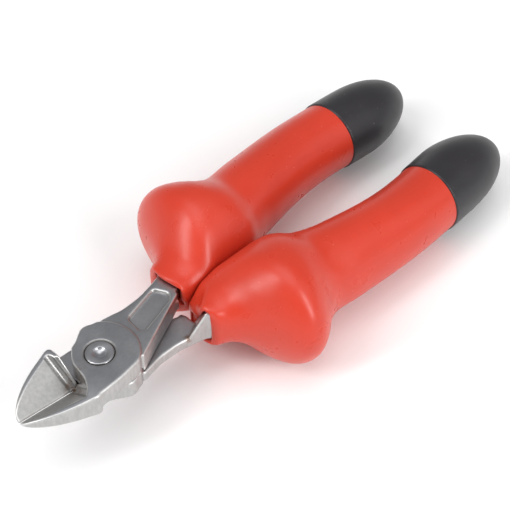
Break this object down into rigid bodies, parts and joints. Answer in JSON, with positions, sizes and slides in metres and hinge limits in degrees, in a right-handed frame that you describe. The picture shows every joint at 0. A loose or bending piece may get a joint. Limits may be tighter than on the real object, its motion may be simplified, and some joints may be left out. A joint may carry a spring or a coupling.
{
  "type": "flush cutter",
  "caption": "Small insulated diagonal flush cutter: bevelled jaws, lap joint on a flush rivet, thick dipped grips with round finger guards and dark ends.",
  "frame": {"origin": "on the pivot axis, half way through the thickness of the joint", "axes": "+Z along the pivot axis, up when the tool lies on its side; +X towards the handles, with the jaws at -X; +Y towards the handle of the upper lever"},
  "size_m": [0.1301, 0.0552, 0.0274],
  "materials": {
    "forged_steel": "satin ground faces, bright ground bevels, darker forged walls",
    "rivet_steel": "ground flush, bright edge",
    "inner_insulation": "matte",
    "guard_core": "matte",
    "red_grip": "soft gloss dip-moulded vinyl",
    "black_dip": "satin dip-moulded vinyl"
  },
  "bodies": {
    "lower_half": {"lower_lever": "forged_steel", "pivot_rivet": "rivet_steel", "lower_inner_insulation": "inner_insulation", "lower_guard_core": "guard_core", "lower_outer_grip": "red_grip", "lower_end_dip": "black_dip"},
    "upper_half": {"upper_lever": "forged_steel", "upper_inner_insulation": "inner_insulation", "upper_guard_core": "guard_core", "upper_outer_grip": "red_grip", "upper_end_dip": "black_dip"}
  },
  "joints": [
    {"name": "pivot", "type": "hinge", "parent": "lower_half", "child": "upper_half", "pos_m": [0, 0, 0], "axis": [0, 0, 1], "range_deg": [0, 25]}
  ]
}
